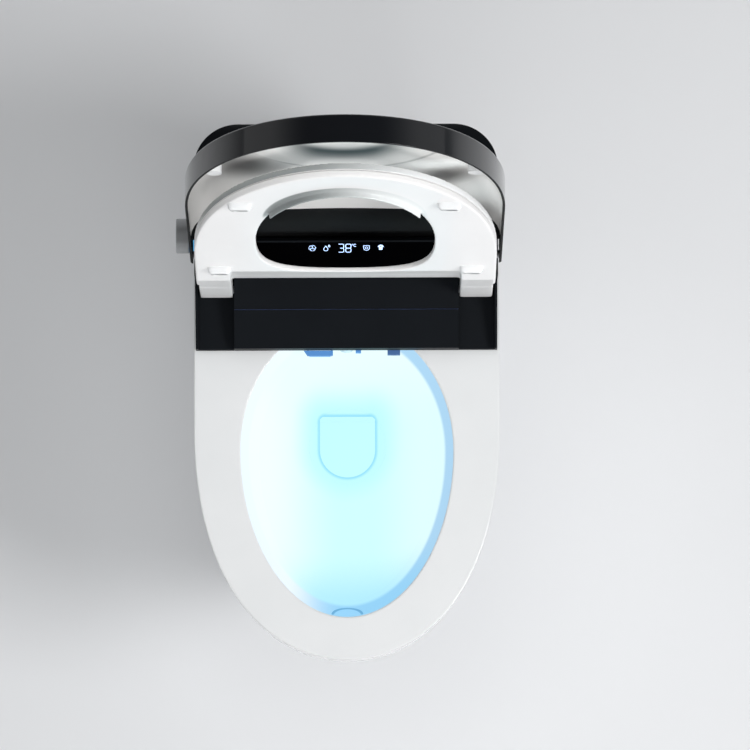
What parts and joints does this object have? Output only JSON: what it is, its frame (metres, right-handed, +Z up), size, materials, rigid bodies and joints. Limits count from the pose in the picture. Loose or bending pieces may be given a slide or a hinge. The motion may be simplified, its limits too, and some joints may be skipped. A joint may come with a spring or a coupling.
{
  "type": "smart toilet",
  "caption": "Floor-standing smart toilet with a glazed china bowl, raised lid and heated seat on hinges, washing unit with sliding spray nozzle, dryer flap, lit display and side knob.",
  "frame": {"origin": "centre of the waste outlet on the floor under the foot", "axes": "+Z up; +Y towards the wall behind; the bowl's front faces -Y; +X to the right as seen from the front"},
  "size_m": [0.4114, 0.676, 0.992],
  "materials": {
    "glazed_china": "smooth white glaze",
    "white_plastic": "smooth white",
    "grey_plastic": "light grey, smooth",
    "gloss_black": "piano black",
    "satin_black": "fine satin",
    "display_glass": "black polished glass",
    "white_rubber": "soft white",
    "dark_rubber": "matte",
    "steel": "brushed",
    "knob_metal": "turned, grey",
    "light_guide": "lit cyan light guide",
    "nozzle_white": "smooth",
    "motor_metal": "plated",
    "fan_plastic": "moulded",
    "carbon": "porous black",
    "heater_plastic": "moulded",
    "board_green": "solder mask",
    "brass": "machined"
  },
  "bodies": {
    "toilet": {"ceramic_body": "glazed_china", "chassis": "satin_black", "chassis_anchors": "dark_rubber", "chassis_bolts": "steel", "control_board": "board_green", "cover_screws": "steel", "deodorizer_case": "grey_plastic", "deodorizer_filter": "carbon", "display_board": "board_green", "display_housing": "satin_black", "display_panel": "display_glass", "dryer_duct": "grey_plastic", "dryer_motor": "motor_metal", "dryer_scroll": "grey_plastic", "flush_hose": "dark_rubber", "flush_pump": "grey_plastic", "flush_spout": "grey_plastic", "foam_outlet_cap": "white_plastic", "hinge_cover": "satin_black", "inlet_valve": "grey_plastic", "knob_encoder": "heater_plastic", "knob_ring": "light_guide", "left_side_panel": "satin_black", "lid_damper": "motor_metal", "lid_motor": "motor_metal", "night_light_lens": "light_guide", "nozzle_cover": "satin_black", "nozzle_guide": "grey_plastic", "nozzle_motor": "motor_metal", "nozzle_valve": "grey_plastic", "outlet_seal": "dark_rubber", "power_inlet": "satin_black", "power_supply": "heater_plastic", "rear_cover": "satin_black", "right_side_panel": "satin_black", "seat_damper": "motor_metal", "seat_motor": "motor_metal", "water_heater": "heater_plastic", "water_hose": "dark_rubber", "water_inlet": "brass"},
    "lid": {"lid_shell": "gloss_black", "lid_liner": "grey_plastic", "lid_bumpers": "white_rubber", "lid_pin_left": "steel", "lid_pin_right": "steel"},
    "seat_shaft": {"seat_pin_left": "steel", "seat_pin_right": "steel"},
    "seat": {"seat_top": "white_plastic", "seat_base": "white_plastic", "seat_heater": "motor_metal", "seat_bumpers": "white_rubber"},
    "knob_stem": {"knob_stem": "steel"},
    "knob": {"knob": "knob_metal"},
    "nozzle": {"nozzle_wand": "nozzle_white", "nozzle_tip": "steel"},
    "nozzle_pinion": {"nozzle_pinion": "nozzle_white"},
    "dryer_flap": {"dryer_flap": "grey_plastic"},
    "dryer_fan": {"dryer_impeller": "fan_plastic"},
    "deodorizer_fan": {"deodorizer_fan": "fan_plastic"}
  },
  "joints": [
    {"name": "lid_hinge", "type": "hinge", "parent": "toilet", "child": "lid", "pos_m": [0, 0.119, 0.487], "axis": [1, 0, 0], "range_deg": [0, 104.55]},
    {"name": "seat_shaft_turn", "type": "hinge", "parent": "toilet", "child": "seat_shaft", "pos_m": [0, 0.081, 0.445], "axis": [1, 0, 0], "range_deg": [0, 102.6]},
    {"name": "seat_hinge", "type": "hinge", "parent": "seat_shaft", "child": "seat", "pos_m": [0, 0.081, 0.445], "axis": [-1, 0, 0], "range_deg": [-102.5, 0]},
    {"name": "knob_press", "type": "slide", "parent": "toilet", "child": "knob_stem", "axis": [1, 0, 0], "range_m": [0, 0.0025], "stiffness_N_per_m": 900},
    {"name": "knob_turn", "type": "hinge", "parent": "knob_stem", "child": "knob", "pos_m": [-0.2, 0.151, 0.44], "axis": [1, 0, 0], "continuous": true},
    {"name": "nozzle_slide", "type": "slide", "parent": "toilet", "child": "nozzle", "axis": [0, -0.866, -0.5], "range_m": [0, 0.09]},
    {"name": "pinion_turn", "type": "hinge", "parent": "toilet", "child": "nozzle_pinion", "pos_m": [0, 0.09494, 0.42541], "axis": [1, 0, 0], "range_deg": [0, 645]},
    {"name": "dryer_flap_hinge", "type": "hinge", "parent": "toilet", "child": "dryer_flap", "pos_m": [-0.034, 0.004, 0.4023], "axis": [-1, 0, 0], "range_deg": [0, 65]},
    {"name": "dryer_fan_spin", "type": "hinge", "parent": "toilet", "child": "dryer_fan", "pos_m": [-0.034, 0.132, 0.33], "axis": [0, 0, 1], "continuous": true},
    {"name": "deodorizer_fan_spin", "type": "hinge", "parent": "toilet", "child": "deodorizer_fan", "pos_m": [-0.03, 0.212, 0.32], "axis": [0, 0, 1], "continuous": true}
  ],
  "couplings": [
    {"joint": "seat_shaft_turn", "follows": "lid_hinge", "ratio": 0.98035},
    {"joint": "pinion_turn", "follows": "nozzle_slide", "rad_per_m": 125}
  ]
}
